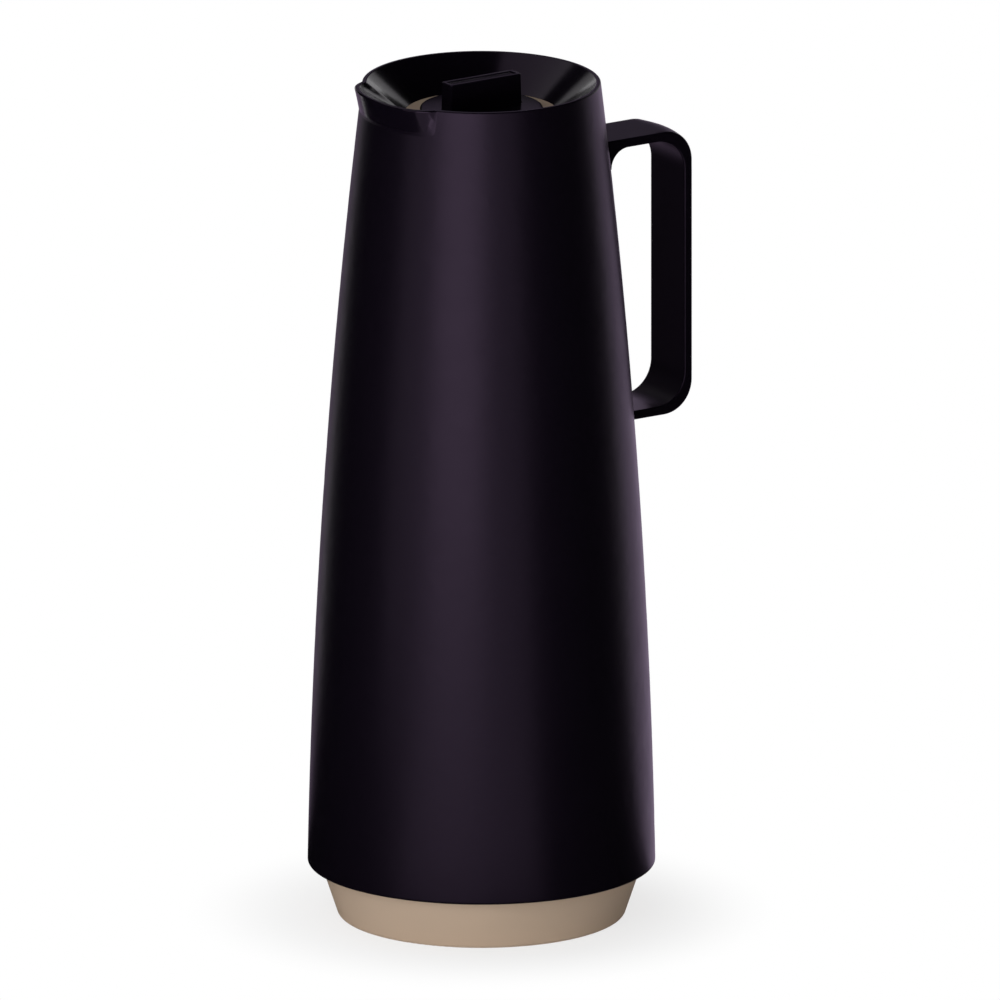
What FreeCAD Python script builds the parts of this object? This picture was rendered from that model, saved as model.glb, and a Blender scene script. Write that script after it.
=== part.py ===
import FreeCAD, Part
import math
import os
import re

import Sketcher

# Driving dimensions of the jug in millimetres, angles in degrees.
SIZES = {
    # Casing: one moulding with the side wall, the funnel mouth, the lip and the neck sleeve
    "rim_height": 296.5,
    "rim_radius": 41.2,
    "foot_height": 18.4,
    "foot_radius": 60.0,
    "side_bulge": 3.45,
    "casing_wall": 2.4,
    "foot_edge": 0.8,
    "rim_wall": 1.4,
    "rim_edge": 0.5,
    "rim_block": 7.5,
    "lip_reach": 3.6,
    "lip_wall": 1.4,
    "lip_depth": 10,
    "lip_half_angle": 36,
    "lip_sink": 0.1,
    "funnel_depth": 10.8,
    "funnel_wall": 2.2,
    "sleeve_wall": 2.4,
    "sleeve_length": 21.7,
    "ledge_width": 2.4,
    "ledge_height": 3,
    # Handle: a flat strap bent into a D, held by two tongues through the casing
    "handle_stand": 39,
    "handle_drop": 25.9,
    "handle_length": 101,
    "handle_width": 21.5,
    "handle_corner": 14.5,
    "handle_root": 6.9,
    "root_plate": 3.1,
    "strap": 3.2,
    "strap_edge": 0.6,
    "tongue_width": 12,
    "tongue_thickness": 2.2,
    "tongue_reach": 1.4,
    "slot_gap": 0.15,
    "seat_gap": 0.05,
    # Base: a tapered cup that screws into the casing
    "base_step": 4.4,
    "base_taper": 6.2,
    "base_wall": 2.2,
    "base_lap": 1.2,
    "base_skirt": 13,
    "base_floor": 2.4,
    "base_edge": 1.8,
    "base_recess": 1.2,
    "base_ring": 5.4,
    "thread_gap": 0.3,
    "pedestal_inset": 19,
    "pedestal_wall": 4,
    "rib_width": 2,
    "rib_drop": 0.7,
    # Cushion: a rubber channel on the base's pedestal, shaped to the flask
    "cushion_wall": 2.2,
    "cushion_thickness": 3.5,
    "cushion_grip": 5,
    "cushion_gap": 0.15,
    # Flask: two glass walls joined at the mouth
    "flask_room": 1.7,
    "flask_bottom": 17,
    "glass_wall": 1.4,
    "vacuum_gap": 4.4,
    "dome_rise": 14,
    "dome_edge": 9,
    "shoulder_drop": 80.5,
    "shoulder_radius": 70,
    "neck_bend": 14,
    "neck_bore": 17,
    "neck_gap": 1.4,
    "glass_lip": 2,
    "tip_radius": 3.2,
    "tip_length": 6,
    "spacer_radius": 4,
    "spacer_rise": 33,
    "spacer_gap": 0.1,
    # Collar, gasket and O-ring round the glass mouth
    "collar_depth": 12.7,
    "collar_wall": 1.2,
    "collar_flange": 3,
    "collar_gap": 0.2,
    "gasket_lap": 1.4,
    "gasket_seat": 3.8,
    "gasket_thickness": 2.5,
    "gasket_wall": 1.8,
    "gasket_skirt": 8.5,
    "ring_cord": 1,
    "ring_depth": 6,
    "ring_gap": 0.05,
    # Stopper
    "stopper_gap": 0.3,
    "skirt_gap": 1.6,
    "disc_lap": 1.9,
    "disc_thickness": 1.9,
    "disc_gap": 0.2,
    "disc_edge": 1,
    "cap_wall": 2.2,
    "flute_width": 11,
    "flute_depth": 1.1,
    "fin_height": 10.2,
    "fin_length": 29,
    "fin_width": 6.2,
    "fin_flare": 0.25,
    "fin_corner": 0.8,
    "fin_root": 0.5,
    "fin_edge": 0.35,
    "fin_wall": 1.6,
    "panel_border": 1.1,
    "panel_depth": 0.4,
    "seal_inset": 0.2,
    "seal_thickness": 1.6,
    "plug_step": 0.7,
    "plug_taper": 1.2,
    "plug_length": 22,
    "plug_wall": 1.6,
    "plug_edge": 2,
    "bead_height": 2.4,
    "bead_lip": 1.3,
    "spigot_length": 6,
    "spigot_step": 1.5,
    "spigot_gap": 0.1,
    "foam_gap": 0.2,
    # How far cutting tools run past what they cut
    "overrun": 1,
}
RIB_COUNT = 8
FLUTE_COUNT = 4
SPACER_COUNT = 3
# Spans of the pouring lip's curve
LIP_SPANS = 24
# How near its sought place an edge has to lie to be the one meant
CLOSE = 1e-4

doc = FreeCAD.newDocument("thermal_jug")
sheet = doc.addObject("Spreadsheet::Sheet", "sizes")
for row, (alias, number) in enumerate(SIZES.items(), start=1):
    sheet.set(f"A{row}", alias)
    sheet.set(f"B{row}", str(number))
    sheet.setAlias(f"B{row}", alias)
doc.recompute()

# Heights and radii that several pieces share, as formulas in the sheet's words
COLLAR_TOP = "(rim_height - funnel_depth)"
GASKET_TOP = f"({COLLAR_TOP} - collar_depth)"
GLASS_TOP = f"({GASKET_TOP} - gasket_thickness)"
SLEEVE_BOTTOM = f"({COLLAR_TOP} - sleeve_length)"
SKIRT_BOTTOM = f"({GASKET_TOP} + seal_thickness)"
DISC_BOTTOM = f"({COLLAR_TOP} + disc_gap)"
DISC_TOP = f"({DISC_BOTTOM} + disc_thickness)"
CAP_CEILING = f"({DISC_TOP} - cap_wall)"
FIN_TOP = f"({DISC_TOP} + fin_height)"
HANDLE_REACH = "(rim_radius + handle_stand)"
HANDLE_TOP = "(rim_height - handle_drop)"
HANDLE_BOTTOM = f"({HANDLE_TOP} - handle_length)"
SHOULDER_HEIGHT = f"({GLASS_TOP} - shoulder_drop)"
SPACER_HEIGHT = "(flask_bottom + spacer_rise)"
BASE_STOP = "(foot_height + base_skirt)"
FLOOR_TOP = "(base_recess + base_floor)"
BASE_RADIUS = "(foot_radius - base_step - base_taper)"
NECK_RADIUS = "(neck_bore + glass_wall + neck_gap + glass_wall)"
COLLAR_SEAT = f"({NECK_RADIUS} + gasket_wall + 2 * collar_gap)"
MOUTH_RADIUS = f"({COLLAR_SEAT} + collar_wall + 2 * ring_cord + 2 * ring_gap)"
SLEEVE_RADIUS = f"({MOUTH_RADIUS} + sleeve_wall)"
GASKET_HOLE = "(neck_bore - gasket_lap)"
COLLAR_BORE = f"({GASKET_HOLE} + gasket_seat)"
DISC_RADIUS = f"({COLLAR_BORE} + disc_lap)"
SKIRT_RADIUS = f"({COLLAR_BORE} - skirt_gap)"
SEAL_RADIUS = f"({SKIRT_RADIUS} - seal_inset)"
BEAD_RADIUS = f"({GASKET_HOLE} - stopper_gap)"
PLUG_RADIUS = f"({BEAD_RADIUS} - plug_step)"
PLUG_TIP_RADIUS = f"({PLUG_RADIUS} - plug_taper)"
PLUG_NECK = f"({BEAD_RADIUS} - bead_lip)"
STOPPER_BORE = f"({PLUG_NECK} + spigot_step)"

# The casing's side is one shallow arc from foot to rim
SIDE_RISE = "(rim_height - foot_height)"
SIDE_TAPER = "(foot_radius - rim_radius)"
SIDE_CHORD = f"sqrt({SIDE_RISE}^2 + {SIDE_TAPER}^2)"
SIDE_RADIUS = f"({SIDE_CHORD}^2 / (8 * side_bulge) + side_bulge / 2)"
SIDE_ACROSS = (f"((rim_radius + foot_radius) / 2"
               f" - ({SIDE_RADIUS} - side_bulge) * {SIDE_RISE} / {SIDE_CHORD})")
SIDE_UP = (f"((rim_height + foot_height) / 2"
           f" - ({SIDE_RADIUS} - side_bulge) * {SIDE_TAPER} / {SIDE_CHORD})")


def side_at(height, inset="0"):
    """Radius of the casing's side at a height, or of a wall set in from it."""
    return f"({SIDE_ACROSS} + sqrt(({SIDE_RADIUS} - {inset})^2 - ({height} - {SIDE_UP})^2))"


# The flask fills the casing up to its shoulder, and its dome is one arc about a centre on the axis
FLASK_RADIUS = f"({side_at(SHOULDER_HEIGHT, 'casing_wall')} - flask_room)"
DOME_RADIUS = f"(({FLASK_RADIUS}^2 + dome_rise^2) / (2 * dome_rise))"
DOME_CENTRE = f"(flask_bottom + {DOME_RADIUS})"
PEDESTAL_RADIUS = f"({FLASK_RADIUS} - pedestal_inset)"


def dome_at(radius, drop="0"):
    """Height of the flask's dome at a radius, or of a surface below it."""
    return f"({DOME_CENTRE} - sqrt(({DOME_RADIUS} + {drop})^2 - {radius}^2))"


PEDESTAL_TOP = f"({dome_at(PEDESTAL_RADIUS)} - cushion_thickness)"
CUSHION_BOTTOM = f"({PEDESTAL_TOP} - cushion_grip)"


def bound(formula):
    """The formula as an expression on the sheet's cells."""
    return re.sub(r"[a-z_]+", lambda word: f"sizes.{word[0]}" if word[0] in SIZES else word[0], formula)


def value(formula):
    """The formula's number now."""
    return float(sheet.evalExpression(formula))


def bind(item, **formulas):
    """Tie an object's properties to the sheet; a double underscore stands for a dot."""
    for path, formula in formulas.items():
        item.setExpression(path.replace("__", "."), bound(formula))


def plane(body, role):
    """One of a body's own origin planes."""
    return next(item for item in body.Origin.OriginFeatures if item.Role == role)


def bent(start, end, radius):
    """The short arc between two points; a positive radius turns left on the way."""
    along = end - start
    aside = FreeCAD.Vector(-along.y, along.x, 0).normalize()
    reach = math.sqrt(radius**2 - (along.Length / 2)**2)
    centre = (start + end) / 2 + aside * math.copysign(reach, radius)
    circle = Part.Circle(centre, FreeCAD.Vector(0, 0, 1), abs(radius))
    first, last = (start, end) if radius > 0 else (end, start)
    return Part.ArcOfCircle(circle, circle.parameter(first), circle.parameter(last))


def sketch_on(body, name, role, corners, height="0"):
    """A closed outline with every corner tied to the sheet.

    A corner is (across, up), or (across, up, radius) where an arc leads to it."""
    sketch = body.newObject("Sketcher::SketchObject", name)
    sketch.AttachmentSupport = (plane(body, role), [""])
    sketch.MapMode = "FlatFace"
    bind(sketch, AttachmentOffset__Base__z=height)
    points = [FreeCAD.Vector(value(corner[0]), value(corner[1]), 0) for corner in corners]
    for index, corner in enumerate(corners):
        start = points[index - 1]
        if len(corner) == 2:
            sketch.addGeometry(Part.LineSegment(start, points[index]))
        else:
            sketch.addGeometry(bent(start, points[index], value(corner[2])))
    for index, corner in enumerate(corners):
        tie_corner(sketch, index, corner, points)
    return sketch


def edge_end(sketch, index, point):
    """Which end of an edge lies at a point: 1 its start, 2 its end."""
    edge = sketch.Geometry[index]
    return 1 if edge.StartPoint.distanceToPoint(point) < edge.EndPoint.distanceToPoint(point) else 2


def tie_corner(sketch, index, corner, points):
    """Join two edges at a corner and tie its place, and its arc's radius, to the sheet."""
    after = (index + 1) % len(points)
    here = edge_end(sketch, index, points[index])
    there = edge_end(sketch, after, points[index])
    sketch.addConstraint(Sketcher.Constraint("Coincident", index, here, after, there))
    for kind, axis, formula in (("DistanceX", -2, corner[0]), ("DistanceY", -1, corner[1])):
        if formula == "0":
            sketch.addConstraint(Sketcher.Constraint("PointOnObject", index, here, axis))
        else:
            tie(sketch, Sketcher.Constraint(kind, -1, 1, index, here, value(formula)), formula)
    if len(corner) == 3:
        radius = f"abs({corner[2]})"
        tie(sketch, Sketcher.Constraint("Radius", index, value(radius)), radius)


def tie(sketch, constraint, formula):
    """Add a constraint that follows the sheet."""
    number = sketch.addConstraint(constraint)
    sketch.setExpression(f"Constraints[{number}]", bound(formula))


def turned(label, corners):
    """A body turned about the jug's axis from its half section."""
    body = doc.addObject("PartDesign::Body", label)
    sketch = sketch_on(body, f"{label}_section", "XZ_Plane", corners)
    turn = body.newObject("PartDesign::Revolution", f"{label}_turn")
    turn.Profile = sketch
    turn.ReferenceAxis = (sketch, ["V_Axis"])
    turn.Angle = 360
    finish(body, turn)
    return body


def finish(body, feature):
    """Make a feature the body's last one and build it."""
    body.Tip = feature
    doc.recompute()


def rounded(body, name, edges, radius):
    """Round the body's edges that the test picks."""
    base = body.Tip
    fillet = body.newObject("PartDesign::Fillet", name)
    fillet.Base = (base, edge_names(base.Shape, edges))
    bind(fillet, Radius=radius)
    finish(body, fillet)


def edge_names(shape, wanted):
    """Names of the edges that the test picks."""
    return [f"Edge{number}" for number, edge in enumerate(shape.Edges, start=1) if wanted(edge)]


def level_at(height):
    """A test for edges that lie level at a height."""
    level = value(height)
    return lambda edge: max(abs(edge.BoundBox.ZMin - level), abs(edge.BoundBox.ZMax - level)) < CLOSE


def ring_at(radius, height):
    """A test for the round edge of a radius at a height."""
    wide = value(radius)
    return lambda edge: level_at(height)(edge) and abs(edge.BoundBox.XMax - wide) < CLOSE


def lip_spots(height, radius, reach, half_angle):
    """Points of the pouring lip's curve, which swells out of a circle towards -X."""
    spots = []
    for step in range(LIP_SPANS + 1):
        turn = 2 * step / LIP_SPANS - 1
        angle = math.pi + turn * half_angle
        swollen = radius + reach * (1 - turn**8)**2
        spots.append(FreeCAD.Vector(swollen * math.cos(angle), swollen * math.sin(angle), height))
    return spots


def lip_curve(spots):
    """The lip's curve, leaving the circle smoothly at both ends."""
    curve = Part.BSplineCurve()
    curve.interpolate(Points=spots, InitialTangent=FreeCAD.Vector(-spots[0].y, spots[0].x, 0),
                      FinalTangent=FreeCAD.Vector(-spots[-1].y, spots[-1].x, 0))
    return curve.toShape()


def bowed_cone(label, gap):
    """The casing's outer form without its lip, or one that a gap makes larger."""
    return turned(label, [
        ("0", "foot_height"),
        (f"(foot_radius + {gap})", "foot_height"),
        (f"(rim_radius + {gap})", "rim_height", f"({SIDE_RADIUS} + {gap})"),
        ("0", "rim_height"),
    ])


def lip_form():
    """The lip's outer form: a straight flare that leaves the side at a crease, up to the rim."""
    half_angle = math.radians(sheet.lip_half_angle)
    sections = []
    for drop, reach in ((sheet.lip_depth, 0), (0, sheet.lip_reach + sheet.lip_sink)):
        height = sheet.rim_height - drop
        radius = value(side_at(str(height))) - sheet.lip_sink
        spots = lip_spots(height, radius, reach, half_angle)
        sections.append(Part.Wire([lip_curve(spots), Part.makeLine(spots[-1], spots[0])]))
    lip = doc.addObject("Part::Feature", "lip_form")
    lip.Shape = Part.makeLoft(sections, True, True)
    return lip


def funnel_space():
    """The space above the funnel, from the sleeve's bore to the rim and the lip."""
    rim_radius = sheet.rim_radius - sheet.rim_wall
    mouth_radius = value(MOUTH_RADIUS)
    reach = sheet.lip_reach + sheet.rim_wall - sheet.lip_wall
    half_angle = math.radians(sheet.lip_half_angle) - sheet.rim_wall / sheet.rim_radius
    over = sheet.overrun / sheet.funnel_depth
    sections = []
    for share in (-over, 1 + over):
        height = value(COLLAR_TOP) + sheet.funnel_depth * share
        radius = mouth_radius + (rim_radius - mouth_radius) * share
        spots = lip_spots(height, radius, reach * max(share, 0), half_angle)
        rest = Part.Arc(spots[-1], FreeCAD.Vector(radius, 0, height), spots[0])
        sections.append(Part.Wire([lip_curve(spots), rest.toShape()]))
    space = doc.addObject("Part::Feature", "funnel_space")
    space.Shape = Part.makeLoft(sections, True, True)
    return space


def casing_inside():
    """The casing's hollow: the base's thread, the stop ledge, the side and the funnel's back."""
    bore = side_at(BASE_STOP, "casing_wall")
    ledge = f"({bore} - ledge_width)"
    ledge_top = f"({BASE_STOP} + ledge_height)"
    block = "(rim_height - rim_block)"
    slope = f"(funnel_depth / (rim_radius - rim_wall - {MOUTH_RADIUS}))"
    back = f"({COLLAR_TOP} - funnel_wall * sqrt(1 + {slope}^2))"
    below = "(foot_height - overrun)"
    return turned("casing_inside", [
        ("0", below),
        (bore, below),
        (bore, BASE_STOP),
        (ledge, BASE_STOP),
        (ledge, ledge_top),
        (side_at(ledge_top, "casing_wall"), ledge_top),
        (side_at(block, "casing_wall"), block, f"({SIDE_RADIUS} - casing_wall)"),
        (f"({MOUTH_RADIUS} + ({block} - {back}) / {slope})", block),
        (SLEEVE_RADIUS, f"({back} + {slope} * sleeve_wall)"),
        (SLEEVE_RADIUS, SLEEVE_BOTTOM),
        ("0", SLEEVE_BOTTOM),
    ])


def block_at(name, length, width, height, left, bottom):
    """A box on the handle's side, centred across the jug."""
    block = doc.addObject("Part::Box", name)
    bind(block, Length=length, Width=width, Height=height,
         Placement__Base__x=left, Placement__Base__y=f"-({width}) / 2", Placement__Base__z=bottom)
    return block


def strap_middles():
    """Heights of the middles of the handle's two arms."""
    return {"upper": f"({HANDLE_TOP} - strap / 2)", "lower": f"({HANDLE_BOTTOM} + strap / 2)"}


def tongue(name, middle, gap):
    """A tongue through the casing's wall, or its slot where there is a gap."""
    inner = f"({side_at(middle, 'casing_wall')} - tongue_reach - {gap})"
    length = f"({side_at(middle)} + handle_root - {inner})"
    height = f"(tongue_thickness + 2 * {gap})"
    return block_at(name, length, f"(tongue_width + 2 * {gap})", height, inner, f"({middle} - {height} / 2)")


def outer_shell():
    """The casing: its outer form less the hollow, the sleeve's bore, the funnel and the slots."""
    bore = doc.addObject("Part::Cylinder", "sleeve_bore")
    bind(bore, Radius=MOUTH_RADIUS, Height="sleeve_length + 2 * overrun",
         Placement__Base__z=f"{SLEEVE_BOTTOM} - overrun")
    tools = [casing_inside(), bore, funnel_space()]
    tools += [tongue(f"{end}_slot", middle, "slot_gap") for end, middle in strap_middles().items()]
    spaces = doc.addObject("Part::MultiFuse", "casing_spaces")
    spaces.Shapes = tools
    form = doc.addObject("Part::Fuse", "casing_form")
    form.Base = bowed_cone("casing_outside", "0")
    form.Tool = lip_form()
    cut = doc.addObject("Part::Cut", "casing_cut")
    cut.Base = form
    cut.Tool = spaces
    doc.recompute()
    shell = doc.addObject("Part::Fillet", "outer_shell")
    shell.Base = cut
    on_rim = level_at("rim_height")
    at_foot = ring_at("foot_radius", "foot_height")
    rounds = []
    for number, edge in enumerate(cut.Shape.Edges, start=1):
        if on_rim(edge):
            rounds.append((number, sheet.rim_edge, sheet.rim_edge))
        elif at_foot(edge):
            rounds.append((number, sheet.foot_edge, sheet.foot_edge))
    shell.Edges = rounds
    doc.recompute()


def outside_casing(edge):
    """A test for the strap's long edges that show outside the casing."""
    middle = edge.CenterOfMass
    on_side = abs(abs(middle.y) - sheet.handle_width / 2) < CLOSE
    return on_side and middle.x > value(side_at(str(middle.z)))


def handle():
    """The strap, cut to the casing's side, with a tongue at the end of each arm."""
    inner_corner = "(handle_corner - strap)"
    inner_reach = f"({HANDLE_REACH} - strap)"
    inner_top = f"({HANDLE_TOP} - strap)"
    inner_bottom = f"({HANDLE_BOTTOM} + strap)"
    root_bottom = f"({inner_top} - handle_root)"
    root = f"(sqrt({side_at(root_bottom)}^2 - (handle_width / 2)^2) + root_plate)"
    top_start = f"({side_at(HANDLE_TOP)} - casing_wall)"
    bottom_start = f"({side_at(HANDLE_BOTTOM)} - casing_wall)"
    body = doc.addObject("PartDesign::Body", "handle_strap")
    sketch = sketch_on(body, "handle_side", "XZ_Plane", [
        (top_start, HANDLE_TOP),
        (top_start, root_bottom),
        (root, root_bottom),
        (f"({root} + handle_root)", inner_top, "-handle_root"),
        (f"({inner_reach} - {inner_corner})", inner_top),
        (inner_reach, f"({inner_top} - {inner_corner})", f"-{inner_corner}"),
        (inner_reach, f"({inner_bottom} + {inner_corner})"),
        (f"({inner_reach} - {inner_corner})", inner_bottom, f"-{inner_corner}"),
        (bottom_start, inner_bottom),
        (bottom_start, HANDLE_BOTTOM),
        (f"({HANDLE_REACH} - handle_corner)", HANDLE_BOTTOM),
        (HANDLE_REACH, f"({HANDLE_BOTTOM} + handle_corner)", "handle_corner"),
        (HANDLE_REACH, f"({HANDLE_TOP} - handle_corner)"),
        (f"({HANDLE_REACH} - handle_corner)", HANDLE_TOP, "handle_corner"),
    ])
    pad = body.newObject("PartDesign::Pad", "handle_pad")
    pad.Profile = sketch
    pad.Midplane = True
    bind(pad, Length="handle_width")
    finish(body, pad)
    rounded(body, "handle_edges", outside_casing, "strap_edge")
    fitted = doc.addObject("Part::Cut", "handle_fitted")
    fitted.Base = body
    fitted.Tool = bowed_cone("handle_seat", "seat_gap")
    tongues = [tongue(f"{end}_tongue", middle, "0") for end, middle in strap_middles().items()]
    whole = doc.addObject("Part::MultiFuse", "handle")
    whole.Shapes = [fitted] + tongues
    doc.recompute()


def base_cup():
    """The base: a tapered wall on a foot ring, a threaded skirt, a pedestal and ribs."""
    taper = "(base_taper / foot_height)"
    lap = "(foot_height + base_lap)"
    skirt = f"({side_at(BASE_STOP, 'casing_wall')} - thread_gap)"
    inside = f"({skirt} - base_wall)"
    floor_radius = f"({BASE_RADIUS} + {taper} * {FLOOR_TOP} - base_wall)"
    ring_inside = f"({BASE_RADIUS} - base_ring)"
    body = turned("base_cup", [
        ("0", "base_recess"),
        (ring_inside, "base_recess"),
        (ring_inside, "0"),
        (BASE_RADIUS, "0"),
        (f"({BASE_RADIUS} + {taper} * {lap})", lap),
        (skirt, lap),
        (skirt, BASE_STOP),
        (inside, BASE_STOP),
        (inside, f"({lap} + base_wall)"),
        (floor_radius, FLOOR_TOP),
        (f"({PEDESTAL_RADIUS} + pedestal_wall / 2)", FLOOR_TOP),
        (f"({PEDESTAL_RADIUS} + pedestal_wall / 2)", PEDESTAL_TOP),
        (f"({PEDESTAL_RADIUS} - pedestal_wall / 2)", PEDESTAL_TOP),
        (f"({PEDESTAL_RADIUS} - pedestal_wall / 2)", FLOOR_TOP),
        ("0", FLOOR_TOP),
    ])
    rounded(body, "base_foot", ring_at(BASE_RADIUS, "0"), "base_edge")
    rib = sketch_on(body, "rib_side", "XZ_Plane", [
        (PEDESTAL_RADIUS, "base_recess + base_floor / 2"),
        (f"({floor_radius} + base_wall / 2)", "base_recess + base_floor / 2"),
        (f"({floor_radius} + base_wall / 2)", f"({CUSHION_BOTTOM} - rib_drop)"),
        (PEDESTAL_RADIUS, f"({CUSHION_BOTTOM} - rib_drop)"),
    ])
    pad = body.newObject("PartDesign::Pad", "rib_pad")
    pad.Profile = rib
    pad.Midplane = True
    bind(pad, Length="rib_width")
    finish(body, pad)
    repeated(body, "ribs", pad, RIB_COUNT)


def repeated(body, name, feature, count):
    """Copies of a feature round the jug's axis."""
    pattern = body.newObject("PartDesign::PolarPattern", name)
    pattern.Originals = [feature]
    pattern.Axis = (next(item for item in body.Origin.OriginFeatures if item.Role == "Z_Axis"), [""])
    pattern.Angle = 360
    pattern.Occurrences = count
    finish(body, pattern)


def base_cushion():
    """The rubber channel that straps over the pedestal and carries the flask."""
    outer = f"({PEDESTAL_RADIUS} + pedestal_wall / 2 + cushion_gap)"
    inner = f"({PEDESTAL_RADIUS} - pedestal_wall / 2 - cushion_gap)"
    turned("base_cushion", [
        (f"({inner} - cushion_wall)", CUSHION_BOTTOM),
        (inner, CUSHION_BOTTOM),
        (inner, PEDESTAL_TOP),
        (outer, PEDESTAL_TOP),
        (outer, CUSHION_BOTTOM),
        (f"({outer} + cushion_wall)", CUSHION_BOTTOM),
        (f"({outer} + cushion_wall)", dome_at(f"({outer} + cushion_wall)", "cushion_gap")),
        (f"({inner} - cushion_wall)", dome_at(f"({inner} - cushion_wall)", "cushion_gap"),
         f"-({DOME_RADIUS} + cushion_gap)"),
    ])


def flask_side(inset, neck):
    """Corners of one glass surface from the wall's foot up to the neck's bend."""
    wall = f"({FLASK_RADIUS} - {inset})"
    bulge = f"(shoulder_radius - {inset})"
    across = f"({wall} - {bulge} - {neck} - neck_bend)"
    climb = f"sqrt(({bulge} + neck_bend)^2 - {across}^2)"
    split = f"({bulge} / ({bulge} + neck_bend))"
    meet = (f"({wall} - {bulge} - {across} * {split})", f"({SHOULDER_HEIGHT} + {climb} * {split})", bulge)
    bend = (neck, f"({SHOULDER_HEIGHT} + {climb})", "-neck_bend")
    return [(wall, SHOULDER_HEIGHT), meet, bend]


def reversed_side(corners):
    """The same corners walked from top to bottom."""
    walked = []
    for index in range(len(corners) - 1, -1, -1):
        above = corners[index + 1] if index + 1 < len(corners) else ()
        turn = (f"-({above[2]})",) if len(above) == 3 else ()
        walked.append(corners[index][:2] + turn)
    return walked


def dome_end(inset):
    """The corner where the dome meets the wall of one glass surface."""
    wall = f"({FLASK_RADIUS} - {inset})"
    return (wall, dome_at(wall, f"(-{inset})"), f"({DOME_RADIUS} - {inset})")


def dome_foot(inset):
    """The lowest corner of one glass surface, on the axis."""
    return ("0", f"(flask_bottom + {inset})")


def flask(label, inset, neck, top, lip):
    """One glass wall: outer surface up, mouth, inner surface down."""
    inner = f"({inset} + glass_wall)"
    inner_neck = f"({neck} - glass_wall)"
    down = reversed_side(flask_side(inner, inner_neck))
    foot = dome_foot(inner) + (f"-({DOME_RADIUS} - {inner})",)
    body = turned(label, [dome_foot(inset), dome_end(inset)] + flask_side(inset, neck) + lip
                  + [(inner_neck, top)] + down + [dome_end(inner)[:2], foot])
    for surface, depth in (("outer", inset), ("inner", inner)):
        corner = dome_end(depth)
        rounded(body, f"{label}_{surface}_edge", ring_at(corner[0], corner[1]), f"(dome_edge - {depth})")
    return body


def inner_flask():
    """The glass that holds the drink, turned out at the mouth to the outer glass."""
    neck = "(neck_bore + glass_wall)"
    under = f"({GLASS_TOP} - glass_lip)"
    flask("inner_flask", "(glass_wall + vacuum_gap)", neck, GLASS_TOP, [
        (neck, under),
        (NECK_RADIUS, under),
        (NECK_RADIUS, GLASS_TOP),
    ])


def outer_flask():
    """The outer glass with the tip where it was sealed."""
    under = f"({GLASS_TOP} - glass_lip)"
    body = flask("outer_flask", "0", NECK_RADIUS, under, [(NECK_RADIUS, under)])
    tip = sketch_on(body, "tip_section", "XZ_Plane", [
        ("0", "flask_bottom - tip_length"),
        ("tip_radius", "(flask_bottom - tip_length + tip_radius)", "tip_radius"),
        ("tip_radius", "(flask_bottom + glass_wall)"),
        ("0", "(flask_bottom + glass_wall)"),
    ])
    turn = body.newObject("PartDesign::Revolution", "tip_turn")
    turn.Profile = tip
    turn.ReferenceAxis = (tip, ["V_Axis"])
    turn.Angle = 360
    finish(body, turn)


def flask_spacers():
    """Three round pads across the vacuum gap."""
    inner = f"({FLASK_RADIUS} - glass_wall - vacuum_gap + spacer_gap)"
    outer = f"({FLASK_RADIUS} - glass_wall - spacer_gap)"
    walls = []
    for name, radius in (("spacer_inner", inner), ("spacer_outer", outer)):
        wall = doc.addObject("Part::Cylinder", name)
        bind(wall, Radius=radius, Height="4 * spacer_radius",
             Placement__Base__z=f"{SPACER_HEIGHT} - 2 * spacer_radius")
        walls.append(wall)
    gap = doc.addObject("Part::Cut", "spacer_gap_ring")
    gap.Base = walls[1]
    gap.Tool = walls[0]
    pins = []
    for number in range(SPACER_COUNT):
        pin = doc.addObject("Part::Cylinder", f"spacer_pin_{number + 1}")
        bind(pin, Radius="spacer_radius", Height=FLASK_RADIUS, Placement__Base__z=SPACER_HEIGHT)
        turn = FreeCAD.Rotation(FreeCAD.Vector(0, 0, 1), 360 * number / SPACER_COUNT)
        pin.Placement.Rotation = turn.multiply(FreeCAD.Rotation(FreeCAD.Vector(0, 1, 0), 90))
        pins.append(pin)
    star = doc.addObject("Part::MultiFuse", "spacer_pins")
    star.Shapes = pins
    pads = doc.addObject("Part::Common", "flask_spacers")
    pads.Base = star
    pads.Tool = gap
    doc.recompute()


def neck_collar():
    """The ring that closes the funnel, holds the gasket and takes the stopper's thread."""
    outer = f"({MOUTH_RADIUS} - collar_gap)"
    bottom = f"({SLEEVE_BOTTOM} - collar_flange)"
    groove = f"({COLLAR_SEAT} + collar_wall)"
    groove_half = "(ring_cord + ring_gap)"
    ring_height = f"({COLLAR_TOP} - ring_depth)"
    turned("neck_collar", [
        (COLLAR_BORE, COLLAR_TOP),
        (COLLAR_BORE, GASKET_TOP),
        (COLLAR_SEAT, GASKET_TOP),
        (COLLAR_SEAT, bottom),
        (SLEEVE_RADIUS, bottom),
        (SLEEVE_RADIUS, SLEEVE_BOTTOM),
        (outer, SLEEVE_BOTTOM),
        (outer, f"({ring_height} - {groove_half})"),
        (groove, f"({ring_height} - {groove_half})"),
        (groove, f"({ring_height} + {groove_half})"),
        (outer, f"({ring_height} + {groove_half})"),
        (outer, COLLAR_TOP),
    ])
    ring = doc.addObject("Part::Torus", "collar_seal")
    bind(ring, Radius1=f"{MOUTH_RADIUS} - ring_gap - ring_cord", Radius2="ring_cord",
         Placement__Base__z=ring_height)


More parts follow.
